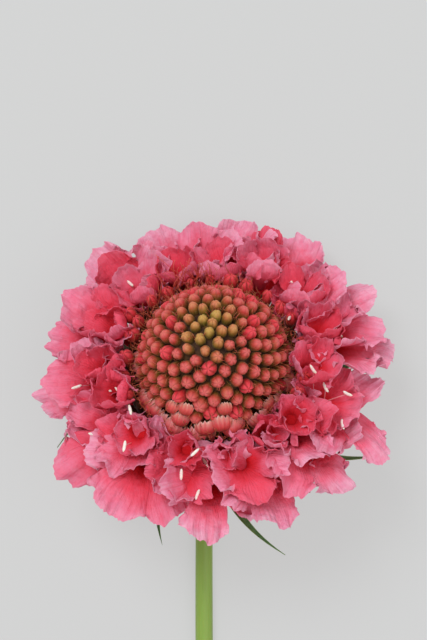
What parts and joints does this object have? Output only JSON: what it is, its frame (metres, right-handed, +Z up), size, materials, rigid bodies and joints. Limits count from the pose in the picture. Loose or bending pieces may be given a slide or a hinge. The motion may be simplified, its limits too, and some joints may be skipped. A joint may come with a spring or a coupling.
{
  "type": "scabiosa flower",
  "caption": "Cut pincushion flower lying down: a bud dome in a frilled ruff of open florets, narrow green bracts behind, on a slender bent stem.",
  "frame": {"origin": "on the surface that the flower lies on, under the middle of its bounding box", "axes": "+Z up from the surface; the stem runs along the surface to -Y and the head turns up and to +Y; +X to the right"},
  "size_m": [0.0674, 0.1783, 0.0359],
  "materials": {
    "stem": "smooth green stem, finely ribbed, soft satin",
    "bracts": "dark green leaf, satin",
    "petals": "thin crimped petals, soft matte sheen",
    "buds": "downy closed buds, matte"
  },
  "bodies": {
    "root": {"stem": "stem", "involucre": "bracts", "ray_florets": "petals", "disc_florets": "buds"}
  },
  "joints": []
}
